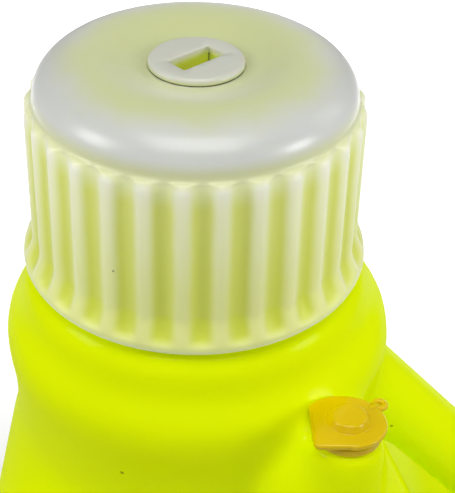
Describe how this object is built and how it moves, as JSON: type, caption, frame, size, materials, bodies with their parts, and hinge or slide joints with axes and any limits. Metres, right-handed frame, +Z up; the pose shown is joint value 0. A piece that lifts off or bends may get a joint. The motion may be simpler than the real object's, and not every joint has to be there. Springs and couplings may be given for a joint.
{
  "type": "utility jug",
  "caption": "Square blow-moulded utility jug with an integral handle, a ribbed screw cap, a slotted centre plug and a flip-up shoulder vent.",
  "frame": {"origin": "centre of the base that the jug stands on", "axes": "+Z up, +X towards the handle and the rear grip, -Y towards the side that carries the vent"},
  "size_m": [0.26, 0.26, 0.55],
  "materials": {
    "jug_plastic": "satin",
    "cap_plastic": "satin",
    "plug_plastic": "satin",
    "vent_plastic": "satin",
    "foam": "matte",
    "rubber": "matte"
  },
  "bodies": {
    "jug": {"jug_body": "jug_plastic", "vent_base": "vent_plastic"},
    "cap_lift_ring": {"cap_gasket": "foam"},
    "cap": {"screw_cap": "cap_plastic"},
    "plug_lift_ring": {"plug_washer": "rubber"},
    "plug": {"cap_plug": "plug_plastic"},
    "vent_lid": {"vent_cap": "vent_plastic"}
  },
  "joints": [
    {"name": "cap_lift", "type": "slide", "parent": "jug", "child": "cap_lift_ring", "axis": [0, 0, 1], "range_m": [0, 0.009]},
    {"name": "cap_turn", "type": "hinge", "parent": "cap_lift_ring", "child": "cap", "pos_m": [-0.055, 0, 0.52], "axis": [0, 0, 1], "range_deg": [0, 540]},
    {"name": "plug_lift", "type": "slide", "parent": "cap", "child": "plug_lift_ring", "axis": [0, 0, 1], "range_m": [0, 0.0075]},
    {"name": "plug_turn", "type": "hinge", "parent": "plug_lift_ring", "child": "plug", "pos_m": [-0.055, 0, 0.54], "axis": [0, 0, 1], "range_deg": [0, 900]},
    {"name": "vent_flip", "type": "hinge", "parent": "jug", "child": "vent_lid", "pos_m": [-0.0229, -0.0564, 0.4692], "axis": [0, -1, 0], "range_deg": [0, 100]}
  ],
  "couplings": [
    {"joint": "cap_lift", "follows": "cap_turn", "m_per_rad": 0.00095493},
    {"joint": "plug_lift", "follows": "plug_turn", "m_per_rad": 0.00047746}
  ]
}
